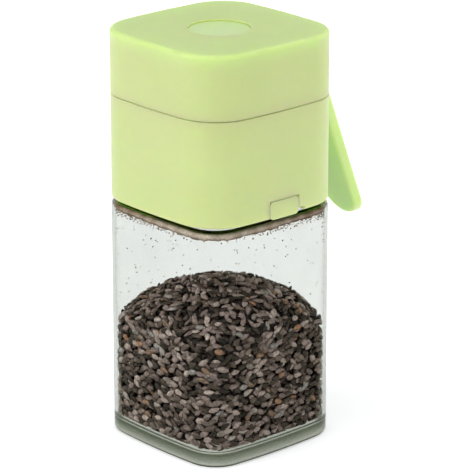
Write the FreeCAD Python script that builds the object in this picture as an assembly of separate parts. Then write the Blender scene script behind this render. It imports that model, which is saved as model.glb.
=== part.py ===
"""Square glass spice jar with a twist-off head and a flip lid opened by a squeeze lever.

Millimetres, +Z up, origin at the centre of the jar's flat base.
The faces stand square to X and Y. The lever hangs behind the +Y face, the release tab is on +X.
"""
import FreeCAD, Part
import math
import os

V = FreeCAD.Vector
X_AXIS = V(1, 0, 0)
Y_AXIS = V(0, 1, 0)
Z_AXIS = V(0, 0, 1)

# Glass jar
glass_height = 81.4
glass_inset = 0.8
glass_corner = 11.5
glass_wall = 1.0
glass_base = 4.2
shoulder_wall = 1.2
base_edge_radius = 1.6
shoulder_edge_radius = 2.0
floor_edge_radius = 2.5
ceiling_edge_radius = 1.0
neck_radius = 20.0
neck_wall = 2.7
neck_height = 17.0
neck_rim_radius = 0.8

# Seed heap, measured from the inner floor
heap_clearance = 0.1
heap_height = 50.0
heap_edge_height = 40.0
dent_pitch = 6.7
dent_row_share = 0.87
dent_radius = 4.5
dent_depth = 1.1

# Quick thread: short sloping lugs on the neck and inside the ring
lug_count = 4
lug_lead = 24.0
lug_height = 2.2
lug_length = 11.0
lug_depth = 1.4
lug_clearance = 0.4
lug_drop = 7.0

# Screw ring and rim gasket
ring_wall = 1.6
ring_bottom_gap = 0.8
ring_plate = 2.0
ring_flange_width = 2.1
gasket_thickness = 1.2
gasket_inset = 0.3
mouth_step = 0.3

# Outline of the head, seen from above: the room is between the screw ring and the shell
head_room = 4.4
head_corner = 15.0
face_bow_radius = 250.0

# Collar
shoulder_gap = 1.0
shell_wall = 2.2
shell_edge_radius = 0.6
seam_edge_radius = 0.3
seam_gap = 0.25
deck_thickness = 2.0

# Spout that drops through the deck and stands on it by a flange
spout_ledge = 2.5
spout_wall = 1.8
spout_height = 9.0
spout_flange_width = 1.6
spout_flange_thickness = 1.2
spout_clearance = 0.15

# Shaker plate
plate_thickness = 1.5
plate_clearance = 0.25
plate_hole_radius = 2.0
plate_hole_pitch = 6.0
plate_ring_counts = (1, 6, 12)

# Flip lid, with the seal and liner inside it
lid_height = 21.5
lid_wall = 2.2
lid_top = 3.4
lid_rim_radius = 1.4
disc_radius = 10.25
disc_thickness = 1.4
disc_sink = 0.7
disc_clearance = 0.15
seal_thickness = 2.0
seal_overhang = 1.0
liner_thickness = 2.2
liner_overhang = 0.6
liner_sink = 1.1
post_radius = 2.8
post_inset = 4.5
screw_radius = 1.0
screw_head_radius = 2.0
screw_head_height = 1.0
screw_length = 8.0
screw_clearance = 0.1

# Squeeze lever, moulded onto the lid
lever_lean_deg = 27.0
lever_stop_deg = 5.0
lever_thickness = 3.9
lever_drop = 53.8
lever_root_half = 14.6
lever_tip_half = 7.4
lever_flare_drop = 3.0
lever_flare_sink = 1.4
lever_edge_radius = 0.9

# Hinge of the lid
hinge_inset = 4.0
hinge_drop = 2.5
pin_radius = 1.5
pin_clearance = 0.1
knuckle_wall = 1.4
knuckle_start = 6.5
knuckle_width = 5.5
hinge_side_gap = 0.5
ear_width = 3.5
ear_wall = 1.5
hinge_clearance = 0.4

# Closing spring on the hinge pin
spring_wire = 0.9
spring_gap = 0.4
spring_pitch = 1.45
spring_turns = 4
spring_lid_leg = 2.8
spring_deck_leg = 3.0

# Release tab
tab_width = 12.4
tab_height = 6.0
tab_drop = 0.4
tab_shift = 1.4
tab_gap = 0.3
tab_corner = 1.5
tab_arm_half = 4.0
tab_pivot_rise = 5.0
tab_barrel_share = 0.38
tab_pin_share = 0.18
tab_pin_clearance = 0.1
tab_ear_width = 2.0
nick_width = 2.6
nick_height = 1.5

# Extra length of every cutting tool beyond the faces that it leaves
overrun = 1.0

# Radii and levels that follow from the sizes above, from the neck outwards and upwards
ring_bore_radius = neck_radius + lug_depth + lug_clearance
ring_outer_radius = ring_bore_radius + ring_wall
head_half = ring_outer_radius + head_room + shell_wall
glass_half = head_half - glass_inset
mouth_radius = neck_radius - neck_wall - mouth_step
spout_bore_radius = mouth_radius + spout_ledge
spout_outer_radius = spout_bore_radius + spout_wall
seal_radius = spout_outer_radius + seal_overhang
liner_radius = seal_radius + liner_overhang
post_offset = (liner_radius - post_inset) / math.sqrt(2)
head_bottom_z = glass_height + shoulder_gap
neck_top_z = glass_height + neck_height
lug_mid_z = neck_top_z - lug_drop
gasket_top_z = neck_top_z + gasket_thickness
deck_bottom_z = gasket_top_z + ring_plate
deck_top_z = deck_bottom_z + deck_thickness
spout_rim_z = deck_top_z + spout_height
seal_top_z = spout_rim_z + seal_thickness
liner_top_z = seal_top_z + liner_thickness
seam_z = liner_top_z + liner_sink
collar_top_z = seam_z - seam_gap
head_top_z = seam_z + lid_height
hinge_y = head_half - hinge_inset
hinge_z = seam_z - hinge_drop
knuckle_radius = pin_radius + knuckle_wall
knuckle_end = knuckle_start + knuckle_width
ear_radius = pin_radius + ear_wall
pin_half = knuckle_end + hinge_side_gap + ear_width
lid_open_deg = lever_lean_deg - lever_stop_deg
tab_pivot_x = ring_outer_radius + head_room / 2
tab_barrel_radius = head_room * tab_barrel_share
tab_pin_radius = head_room * tab_pin_share
tab_top_z = head_bottom_z - tab_drop + tab_height
tab_pivot_z = tab_top_z + tab_pivot_rise


def block(x0, x1, y0, y1, z0, z1):
    """Box between two corners."""
    return Part.makeBox(x1 - x0, y1 - y0, z1 - z0, V(x0, y0, z0))


def disc(radius, z0, z1, x=0, y=0):
    """Upright cylinder between two levels."""
    return Part.makeCylinder(radius, z1 - z0, V(x, y, z0), Z_AXIS)


def tube(outer, inner, z0, z1):
    """Upright ring between two levels."""
    return disc(outer, z0, z1).cut(disc(inner, z0 - overrun, z1 + overrun))


def rod_x(radius, x0, x1, y, z):
    """Cylinder along X."""
    return Part.makeCylinder(radius, x1 - x0, V(x0, y, z), X_AXIS)


def rod_y(radius, y0, y1, x, z):
    """Cylinder along Y."""
    return Part.makeCylinder(radius, y1 - y0, V(x, y0, z), Y_AXIS)


def plan_face(half, corner, inset, z):
    """Rounded square with slightly bowed sides, drawn in parallel to itself by inset."""
    bow = face_bow_radius - inset
    back = face_bow_radius - half
    reach = face_bow_radius - corner
    centre = (math.sqrt(2 * reach ** 2 - back ** 2) - back) / 2
    near = bow * centre / reach
    far = bow * (centre + back) / reach - back
    tip = centre + (corner - inset) / math.sqrt(2)
    edges = []
    for quarter in range(4):
        turn = FreeCAD.Rotation(Z_AXIS, 90 * quarter)
        spots = [V(far, -near, z), V(half - inset, 0, z), V(far, near, z), V(tip, tip, z), V(near, far, z)]
        a, b, c, d, e = [turn.multVec(spot) for spot in spots]
        edges.append(Part.Arc(a, b, c).toShape())
        edges.append(Part.Arc(c, d, e).toShape())
    return Part.Face(Part.Wire(edges))


def head_prism(inset, z0, z1):
    """Upright prism on the head's outline, drawn in by inset."""
    return plan_face(head_half, head_corner, inset, z0).extrude(V(0, 0, z1 - z0))


def glass_prism(inset, z0, z1):
    """Upright prism on the glass body's outline, drawn in by inset."""
    return plan_face(glass_half, glass_corner, inset, z0).extrude(V(0, 0, z1 - z0))


def edges_at(shape, z):
    """Edges that lie wholly at one level."""
    near = overrun / 1000
    return [e for e in shape.Edges if abs(e.BoundBox.ZMin - z) < near and abs(e.BoundBox.ZMax - z) < near]


def rounded_at(shape, z, radius):
    """Round over all the edges at one level."""
    return shape.makeFillet(radius, edges_at(shape, z))


def sloping_lugs(inner, outer, mid_z):
    """Short lugs that climb with the thread's lead, spaced evenly round the axis."""
    slope = math.degrees(math.atan(lug_lead / (2 * math.pi * neck_radius)))
    bar = block(inner - overrun, outer + overrun, -lug_length / 2, lug_length / 2, -lug_height / 2, lug_height / 2)
    bar.rotate(V(0, 0, 0), X_AXIS, slope)
    bar.translate(V(0, 0, mid_z))
    ring = tube(outer, inner, mid_z - lug_length, mid_z + lug_length)
    lug = ring.common(bar)
    lugs = []
    for index in range(lug_count):
        copy = lug.copy()
        copy.rotate(V(0, 0, 0), Z_AXIS, 360 / lug_count * index)
        lugs.append(copy)
    return lugs


def make_glass_jar():
    """Thick-based square jar with a round neck and four sloping lugs."""
    body = glass_prism(0, 0, glass_height)
    body = rounded_at(body, 0, base_edge_radius)
    body = rounded_at(body, glass_height, shoulder_edge_radius)
    neck = disc(neck_radius, glass_height - overrun, neck_top_z)
    neck = rounded_at(neck, neck_top_z, neck_rim_radius)
    hollow_top_z = glass_height - shoulder_wall
    hollow = glass_prism(glass_wall, glass_base, hollow_top_z)
    hollow = rounded_at(hollow, glass_base, floor_edge_radius)
    hollow = rounded_at(hollow, hollow_top_z, ceiling_edge_radius)
    bore = disc(neck_radius - neck_wall, hollow_top_z - overrun, neck_top_z + overrun)
    jar = body.fuse(neck)
    jar = jar.fuse(sloping_lugs(neck_radius - neck_wall / 2, neck_radius + lug_depth, lug_mid_z))
    return jar.cut(hollow).cut(bore).removeSplitter()


def wall_dents(inset, low_z, high_z):
    """Round hollows between the seeds that lie against the glass, in staggered rows."""
    out = dent_radius - dent_depth
    rows = int((high_z - low_z) / (dent_pitch * dent_row_share))
    outline = plan_face(glass_half, glass_corner, inset, 0).OuterWire
    count = 2 * int(outline.Length / dent_pitch / 2)
    spots = outline.discretize(Number=2 * count + 1)[:-1]
    dents = []
    for row in range(rows + 1):
        z = low_z + row * dent_pitch * dent_row_share
        for index in range(row % 2, 2 * count, 2):
            along = spots[(index + 1) % (2 * count)] - spots[index - 1]
            away = along.cross(Z_AXIS).normalize()
            dents.append(Part.makeSphere(dent_radius, spots[index] + away * out + Z_AXIS * z))
    return dents


def crown_dents(radius, centre_z, reach):
    """Round hollows between the seeds on top of the heap, in staggered rows."""
    out = radius + dent_radius - dent_depth
    rows = int(reach / (dent_pitch * dent_row_share))
    dents = []
    for row in range(-rows, rows + 1):
        for column in range(-rows, rows + 1):
            x = (column + row % 2 / 2) * dent_pitch
            y = row * dent_pitch * dent_row_share
            if math.hypot(x, y) < reach:
                way = V(x, y, math.sqrt(radius ** 2 - x ** 2 - y ** 2)) / radius
                dents.append(Part.makeSphere(dent_radius, way * out + Z_AXIS * centre_z))
    return dents


def make_sesame_fill():
    """Heap of seeds: fills the jar's foot, rises to a rounded crown and is dented all over."""
    inset = glass_wall + heap_clearance
    bottom_z = glass_base + heap_clearance
    apex_z = glass_base + heap_height
    drop = heap_height - heap_edge_height
    heap = rounded_at(glass_prism(inset, bottom_z, apex_z), bottom_z, floor_edge_radius)
    radius = (head_half ** 2 + drop ** 2) / (2 * drop)
    crown = Part.makeSphere(radius, V(0, 0, apex_z - radius))
    heap = heap.common(crown).removeSplitter()
    low_z = bottom_z + floor_edge_radius + dent_radius
    high_z = glass_base + heap_edge_height - dent_pitch
    dents = wall_dents(inset, low_z, high_z)
    dents += crown_dents(radius, apex_z - radius, glass_half - inset - dent_pitch / 2)
    return heap.cut(dents)


def make_rim_gasket():
    """Flat silicone ring between the glass rim and the screw ring."""
    return tube(neck_radius - gasket_inset, neck_radius - neck_wall + gasket_inset, neck_top_z, gasket_top_z)


def make_screw_ring():
    """Inner ring that grips the neck lugs and closes on the gasket."""
    bottom_z = head_bottom_z + ring_bottom_gap
    ring = tube(ring_outer_radius, ring_bore_radius, bottom_z, gasket_top_z)
    plate = tube(ring_outer_radius + ring_flange_width, mouth_radius, gasket_top_z, deck_bottom_z)
    drop = (lug_height + lug_clearance) / math.cos(math.atan(lug_lead / (2 * math.pi * neck_radius)))
    lugs = sloping_lugs(neck_radius + lug_clearance, ring_bore_radius + ring_wall / 2, lug_mid_z - drop)
    return ring.fuse([plate] + lugs).removeSplitter()


def lid_sweep():
    """Room that the lid's rear edge takes as the lid tips open, behind the hinge."""
    wide = 2 * head_half
    room = block(-wide, wide, 0, wide, hinge_drop - hinge_clearance, wide)
    room.rotate(V(0, 0, 0), X_AXIS, -lid_open_deg)
    room.translate(V(0, hinge_y, hinge_z))
    return room


def hinge_ears():
    """Two posts on the deck that hold the ends of the hinge pin."""
    ears = []
    for side in (-1, 1):
        x0, x1 = sorted((side * (knuckle_end + hinge_side_gap), side * pin_half))
        post = block(x0, x1, hinge_y - ear_radius, hinge_y + ear_radius, deck_top_z, hinge_z)
        post = post.fuse(rod_x(ear_radius, x0, x1, hinge_y, hinge_z))
        ears.append(post)
    return ears


def tab_ears():
    """Two ears behind the +X wall that hold the release tab's pin."""
    ears = []
    for side in (-1, 1):
        near = tab_shift + side * (tab_arm_half + tab_gap)
        y0, y1 = sorted((near, near + side * tab_ear_width))
        wall_x = head_half - shell_wall / 2
        ear = block(tab_pivot_x, wall_x, y0, y1, tab_pivot_z - tab_barrel_radius, tab_pivot_z + tab_barrel_radius)
        ears.append(ear.fuse(rod_y(tab_barrel_radius, y0, y1, tab_pivot_x, tab_pivot_z)))
    return ears


def tab_opening():
    """Notch for the tab in the collar's lower edge, with a finger nick beside it."""
    y0 = tab_shift - tab_width / 2 - tab_gap
    y1 = tab_shift + tab_width / 2 + tab_gap
    inner_x = head_half - shell_wall - overrun
    outer_x = head_half + overrun
    notch = block(inner_x, outer_x, y0, y1, head_bottom_z - overrun, tab_top_z + tab_gap)
    nick = block(inner_x, outer_x, tab_shift, y1 + nick_width, head_bottom_z - overrun, head_bottom_z + nick_height)
    return notch.fuse(nick)


def make_collar():
    """Outer shell of the head: walls, deck, hinge posts and tab notch."""
    shell = rounded_at(head_prism(0, head_bottom_z, collar_top_z), head_bottom_z, shell_edge_radius)
    shell = rounded_at(shell, collar_top_z, seam_edge_radius)
    shell = shell.cut(head_prism(shell_wall, head_bottom_z - overrun, deck_bottom_z))
    shell = shell.cut(head_prism(shell_wall, deck_top_z, collar_top_z + overrun))
    shell = shell.fuse(hinge_ears() + tab_ears())
    shell = shell.common(head_prism(0, head_bottom_z - overrun, collar_top_z))
    window_half = knuckle_end + hinge_side_gap
    window_z = hinge_z - knuckle_radius - hinge_clearance
    tools = [
        disc(spout_outer_radius + spout_clearance, deck_bottom_z - overrun, deck_top_z + overrun),
        block(-window_half, window_half, hinge_y, head_half + overrun, window_z, collar_top_z + overrun),
        rod_x(pin_radius, -pin_half - overrun, pin_half + overrun, hinge_y, hinge_z),
        rod_y(tab_pin_radius, -tab_width, tab_width, tab_pivot_x, tab_pivot_z),
        lid_sweep(),
        tab_opening(),
    ]
    return shell.cut(tools).removeSplitter()


def make_spout():
    """Round spout with an inner ledge for the shaker plate and a flange that stands on the deck."""
    flange_top_z = deck_top_z + spout_flange_thickness
    spout = disc(spout_outer_radius, deck_bottom_z, spout_rim_z)
    spout = spout.fuse(disc(spout_outer_radius + spout_flange_width, deck_top_z, flange_top_z))
    spout = spout.cut(disc(mouth_radius, deck_bottom_z - overrun, deck_top_z + overrun))
    return spout.cut(disc(spout_bore_radius, deck_top_z, spout_rim_z + overrun))


def make_shaker_plate():
    """Perforated plate that drops into the spout and rests on its ledge."""
    plate = disc(spout_bore_radius - plate_clearance, deck_top_z, deck_top_z + plate_thickness)
    holes = []
    for ring, count in enumerate(plate_ring_counts):
        for index in range(count):
            angle = 2 * math.pi * index / count
            x = ring * plate_hole_pitch * math.cos(angle)
            y = ring * plate_hole_pitch * math.sin(angle)
            top_z = deck_top_z + plate_thickness + overrun
            holes.append(disc(plate_hole_radius, deck_top_z - overrun, top_z, x, y))
    return plate.cut(holes)


def lever_solid():
    """Tongue that flares from the lid's rear wall, leans out and tapers to a round tip."""
    lean = math.radians(lever_lean_deg)
    across = lever_thickness / math.cos(lean)
    tip_z = seam_z - lever_drop
    flare_y = head_half - lever_flare_sink
    corner_z = seam_z + (across + lever_flare_sink) / math.tan(lean)
    flare_z = head_top_z - lever_flare_drop
    tangent = flare_z - corner_z
    bend = tangent / math.tan(lean / 2)
    inside_y = head_half - lid_wall
    tip_y = head_half + lever_drop * math.tan(lean)
    start = V(0, flare_y, flare_z)
    end = V(0, flare_y + tangent * math.sin(lean), corner_z - tangent * math.cos(lean))
    swing = lean / 2
    middle = V(0, flare_y + bend * (1 - math.cos(swing)), flare_z - bend * math.sin(swing))
    outer_tip = V(0, tip_y + across, tip_z)
    inner_tip = V(0, tip_y, tip_z)
    root = V(0, head_half, seam_z)
    inside_low = V(0, inside_y, seam_z)
    inside_high = V(0, inside_y, flare_z)
    side = Part.Wire([
        Part.makeLine(inside_high, start),
        Part.Arc(start, middle, end).toShape(),
        Part.makeLine(end, outer_tip),
        Part.makeLine(outer_tip, inner_tip),
        Part.makeLine(inner_tip, root),
        Part.makeLine(root, inside_low),
        Part.makeLine(inside_low, inside_high),
    ])
    wide = 2 * head_half
    slab = Part.Face(side).extrude(V(2 * wide, 0, 0))
    slab.translate(V(-wide, 0, 0))
    tongue = slab.common(lever_front(tip_z, flare_z))
    sharp = [e for e in tongue.Edges if e.BoundBox.XLength > 0 and e.BoundBox.YMax > head_half + overrun]
    return tongue.makeFillet(lever_edge_radius, sharp)


def lever_front(tip_z, top_z):
    """Tapering outline of the tongue, seen from behind, drawn through the lever's whole depth."""
    centre_z = tip_z + lever_tip_half
    taper = (lever_root_half - lever_tip_half) / (seam_z - centre_z)
    top_half = lever_root_half + taper * (top_z - seam_z)
    depth = 4 * head_half
    tip_left = V(-lever_tip_half, 0, centre_z)
    tip_right = V(lever_tip_half, 0, centre_z)
    top_left = V(-top_half, 0, top_z)
    top_right = V(top_half, 0, top_z)
    outline = Part.Wire([
        Part.makeLine(top_right, top_left),
        Part.makeLine(top_left, tip_left),
        Part.Arc(tip_left, V(0, 0, tip_z), tip_right).toShape(),
        Part.makeLine(tip_right, top_right),
    ])
    return Part.Face(outline).extrude(V(0, depth, 0))


def lid_knuckles():
    """Two barrels under the lid's rear edge, webbed up into its wall."""
    knuckles = []
    for side in (-1, 1):
        x0, x1 = sorted((side * knuckle_start, side * knuckle_end))
        barrel = rod_x(knuckle_radius, x0, x1, hinge_y, hinge_z)
        web_y = head_half - lid_wall / 2
        web = block(x0, x1, hinge_y - pin_radius, web_y, hinge_z, seam_z + lid_wall)
        knuckles.append(barrel.fuse(web))
    return knuckles


def post_places():
    """Places of the four posts and screws that hold the liner inside the lid."""
    return [(sx * post_offset, sy * post_offset) for sx in (-1, 1) for sy in (-1, 1)]


def make_flip_lid():
    """Upper shell with the squeeze lever, hinge barrels, liner posts and a recess in its top."""
    lid = rounded_at(head_prism(0, seam_z, head_top_z), head_top_z, lid_rim_radius)
    lid = rounded_at(lid, seam_z, seam_edge_radius)
    lid = lid.cut(head_prism(lid_wall, seam_z - overrun, head_top_z - lid_top))
    posts = [disc(post_radius, liner_top_z, head_top_z - lid_top / 2, x, y) for x, y in post_places()]
    lid = lid.fuse([lever_solid()] + lid_knuckles() + posts)
    recess_z = head_top_z - disc_sink - disc_thickness
    tip_z = seal_top_z + screw_length + overrun
    pilots = [disc(screw_radius + screw_clearance, liner_top_z - overrun, tip_z, x, y) for x, y in post_places()]
    bore = rod_x(pin_radius + pin_clearance, -pin_half, pin_half, hinge_y, hinge_z)
    recess = disc(disc_radius + disc_clearance, recess_z, head_top_z + overrun)
    return lid.cut([bore, recess] + pilots).removeSplitter()


def make_top_disc():
    """Round inlay in the lid's top, a little below its surface."""
    return disc(disc_radius, head_top_z - disc_sink - disc_thickness, head_top_z - disc_sink)


def screw_solid(x, y, spare):
    """Countersunk screw from below, or the hole for it when spare is more than zero."""
    head = Part.makeCone(screw_head_radius + spare, screw_radius + spare, screw_head_height, V(x, y, seal_top_z))
    return head.fuse(disc(screw_radius + spare, seal_top_z, seal_top_z + screw_length, x, y))


def make_liner_screws():
    """Four short screws that hold the liner against the lid's posts."""
    return Part.makeCompound([screw_solid(x, y, 0) for x, y in post_places()])


def make_lid_liner():
    """Round plate under the lid that backs the seal."""
    plate = disc(liner_radius, seal_top_z, liner_top_z)
    return plate.cut([screw_solid(x, y, screw_clearance) for x, y in post_places()])


def make_lid_seal():
    """Silicone pad that closes on the rim of the spout."""
    return disc(seal_radius, spout_rim_z, seal_top_z)


def make_hinge_pin():
    """Steel pin, pressed into the collar's posts."""
    return rod_x(pin_radius, -pin_half, pin_half, hinge_y, hinge_z)


def biarc(start, start_way, end, end_way):
    """Two arcs that join two points and keep the direction given at each."""
    span = end - start
    ways = start_way + end_way
    turn = 2 * (1 - start_way.dot(end_way))
    along = span.dot(ways)
    reach = (math.sqrt(along ** 2 + turn * span.dot(span)) - along) / turn
    first = start + start_way * reach
    last = end - end_way * reach
    middle = (first + last) * 0.5
    arcs = []
    for a, knee, b in ((start, first, middle), (middle, last, end)):
        chord_middle = (a + b) * 0.5
        half_chord = (b - a).Length / 2
        rise = knee - chord_middle
        angle = math.atan2(rise.Length, half_chord)
        sagitta = half_chord * math.tan(angle / 2)
        arcs.append(Part.Arc(a, chord_middle + rise * (sagitta / rise.Length), b).toShape())
    return arcs


def spring_point(angle, radius):
    """Point on the coil's centre line and the direction that the wire runs there."""
    climb = spring_pitch / (2 * math.pi)
    spot = V(climb * angle, hinge_y + radius * math.cos(angle), hinge_z + radius * math.sin(angle))
    way = V(climb, -radius * math.sin(angle), radius * math.cos(angle)).normalize()
    return spot, way


def make_closing_spring():
    """Torsion spring round the hinge pin, with one leg along the lever and one down to the deck."""
    radius = pin_radius + spring_gap + spring_wire / 2
    first = math.radians(lever_lean_deg)
    last = math.pi + 2 * math.pi * spring_turns
    middle = (first + last) / 2
    steps = math.ceil((last - first) / (math.pi / 2))
    angles = [first + (last - first) * step / steps for step in range(steps + 1)]
    shift = V(-spring_pitch / (2 * math.pi) * middle, 0, 0)
    knots = [spring_point(angle, radius) for angle in angles]
    start, start_way = knots[0]
    end, end_way = knots[-1]
    lid_end = start - start_way * spring_lid_leg
    edges = [Part.makeLine(lid_end, start)]
    for (a, a_way), (b, b_way) in zip(knots, knots[1:]):
        edges.extend(biarc(a, a_way, b, b_way))
    edges.append(Part.makeLine(end, end + end_way * spring_deck_leg))
    section = Part.Wire([Part.Circle(lid_end, start_way, spring_wire / 2).toShape()])
    wire = Part.Wire(edges).makePipeShell([section], True, False)
    wire.translate(shift)
    print("closing spring: least gap between turns", round(spring_pitch - spring_wire, 2), "mm")
    return wire


def make_release_tab():
    """Press tab in the collar's lower edge, hung from a pin behind the wall."""
    low_z = head_bottom_z - tab_drop
    inner_x = head_half - shell_wall - tab_gap
    y0 = tab_shift - tab_width / 2
    frame = block(inner_x, head_half + overrun, y0, y0 + tab_width, low_z, tab_top_z)
    tall = [e for e in frame.Edges if abs(e.BoundBox.XLength - (head_half + overrun - inner_x)) < tab_gap]
    pad = frame.makeFillet(tab_corner, tall).common(head_prism(0, low_z, tab_top_z))
    arm_x = inner_x + shell_wall / 2
    arm0 = tab_shift - tab_arm_half
    arm1 = tab_shift + tab_arm_half
    foot_z = tab_top_z - tab_corner * 2
    arm = block(tab_pivot_x, inner_x, arm0, arm1, foot_z, tab_pivot_z)
    foot = block(tab_pivot_x, arm_x, arm0, arm1, foot_z, tab_top_z - tab_corner)
    barrel = rod_y(tab_barrel_radius, arm0, arm1, tab_pivot_x, tab_pivot_z)
    bore = rod_y(tab_pin_radius + tab_pin_clearance, -tab_width, tab_width, tab_pivot_x, tab_pivot_z)
    return pad.fuse([arm, foot, barrel]).cut(bore).removeSplitter()


def make_tab_pin():
    """Small steel pin that carries the release tab."""
    half = tab_arm_half + tab_gap + tab_ear_width
    return rod_y(tab_pin_radius, tab_shift - half, tab_shift + half, tab_pivot_x, tab_pivot_z)


PIECES = {
    "glass_jar": make_glass_jar,
    "sesame_fill": make_sesame_fill,
    "rim_gasket": make_rim_gasket,
    "screw_ring": make_screw_ring,
    "collar": make_collar,
    "spout": make_spout,
    "shaker_plate": make_shaker_plate,
    "flip_lid": make_flip_lid,
    "top_disc": make_top_disc,
    "lid_liner": make_lid_liner,
    "liner_screws": make_liner_screws,
    "lid_seal": make_lid_seal,
    "hinge_pin": make_hinge_pin,
    "closing_spring": make_closing_spring,
    "release_tab": make_release_tab,
    "tab_pin": make_tab_pin,
}


def main():
    """Build every piece and write it to its own file."""
    os.makedirs("parts", exist_ok=True)
    for name, make in PIECES.items():
        shape = make()
        shape.exportStep("parts/" + name + ".step")
        print(name, "valid", shape.isValid(), "solids", len(shape.Solids), "volume", round(shape.Volume, 1))


main()
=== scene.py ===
"""Looks of a square glass spice jar: lime plastic head, clear glass and a heap of black sesame.

Metres, +Z up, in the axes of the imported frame: the squeeze lever is behind +Y, the release tab on +X.
Sizes that end in _mm are millimetres.
"""

import logging
import math
from dataclasses import dataclass
from enum import Enum
from typing import Any, Optional

import bmesh
import bpy
import numpy as np
from mathutils import Matrix, Vector


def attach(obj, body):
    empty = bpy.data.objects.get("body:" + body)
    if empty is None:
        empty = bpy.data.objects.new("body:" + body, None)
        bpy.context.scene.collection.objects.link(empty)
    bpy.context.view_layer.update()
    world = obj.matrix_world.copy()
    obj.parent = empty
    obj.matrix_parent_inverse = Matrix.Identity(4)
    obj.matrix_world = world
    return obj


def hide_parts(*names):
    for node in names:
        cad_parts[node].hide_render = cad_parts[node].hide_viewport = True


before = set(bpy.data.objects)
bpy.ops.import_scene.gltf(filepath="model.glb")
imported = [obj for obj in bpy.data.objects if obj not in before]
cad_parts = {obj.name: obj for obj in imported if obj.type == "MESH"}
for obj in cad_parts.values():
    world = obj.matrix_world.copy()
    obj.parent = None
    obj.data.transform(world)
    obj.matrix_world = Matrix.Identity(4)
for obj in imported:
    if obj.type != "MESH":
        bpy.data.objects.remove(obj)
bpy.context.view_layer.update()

MM = 0.001
FULL_TURN = 2 * math.pi
TONE = "tone"
COVER = "cover"
# Nearly all of a cloudy pattern lies between these values.
CLOUDS = {"From Min": 0.3, "From Max": 0.7}
# Sockets of a Mix node that blends colours.
FIRST_COLOUR, SECOND_COLOUR, MIXED_COLOUR = 6, 7, 2
# Sockets of a Random Value node that draws a plain number.
LOWEST, HIGHEST, DRAWN = 2, 3, 1
log = logging.getLogger("spice_jar")


class Body(Enum):
    """Moving bodies of the frame that new pieces ride on."""

    JAR = "jar"


class Slot(Enum):
    """Material slot names; the new pieces take their finish directly, not from these."""

    SEEDS = "seeds"


class Ends(Enum):
    """How a skin made of rings ends."""

    OPEN = "open"
    FILLED = "filled"
    LOOPED = "looped"


class Zone(Enum):
    """Part of the heap that a layer of seeds covers."""

    CROWN = "crown"
    SIDE = "side"


class Draw(Enum):
    """Random draws for one grain, each its own step from the layer's seed."""

    SINK = 1
    TONE = 2
    LENGTH = 3
    WIDTH = 4
    HEIGHT = 5
    ROLL = 6
    PITCH = 7
    SPIN = 8


def linear(hex_colour: str) -> tuple[float, float, float, float]:
    """Turn an sRGB hex colour into linear light.

    Args:
        hex_colour: colour as "#RRGGBB".

    Returns:
        Linear red, green and blue, with an alpha of 1.
    """
    shares = [int(hex_colour[start:start + 2], 16) / 255 for start in (1, 3, 5)]
    light = [s / 12.92 if s <= 0.04045 else ((s + 0.055) / 1.055) ** 2.4 for s in shares]
    return light[0], light[1], light[2], 1.0


def sized(place: bpy.types.NodeSocket, size_mm: float) -> dict:
    """Inputs of a pattern that lies on the coordinates of place and has features of size_mm."""
    return {"Vector": place, "Scale": 1 / (size_mm * MM)}


def add_node(tree: bpy.types.NodeTree, kind: str, inputs: Optional[dict] = None,
             **settings: Any) -> bpy.types.Node:
    """Add a node, set its properties, and fill its inputs with values or links.

    Args:
        tree: node tree that the node joins.
        kind: type name of the node.
        inputs: values, sockets, or nodes whose first output is meant, by the input's name or index.
        **settings: properties of the node.

    Returns:
        The new node.
    """
    node = tree.nodes.new(kind)
    for name, value in settings.items():
        setattr(node, name, value)
    for key, value in (inputs or {}).items():
        source = value.outputs[0] if isinstance(value, bpy.types.Node) else value
        if isinstance(source, bpy.types.NodeSocket):
            tree.links.new(source, node.inputs[key])
        else:
            node.inputs[key].default_value = source
    return node


def new_material(name: str) -> tuple[bpy.types.Material, bpy.types.NodeTree, bpy.types.NodeSocket]:
    """Start a node material that is patterned on the piece's own coordinates.

    Args:
        name: what the real material is.

    Returns:
        The material, its node tree and the socket of the piece's coordinates.
    """
    material = bpy.data.materials.new(name)
    material.use_nodes = True
    tree = material.node_tree
    tree.nodes.clear()
    return material, tree, add_node(tree, "ShaderNodeTexCoord").outputs["Object"]


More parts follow.
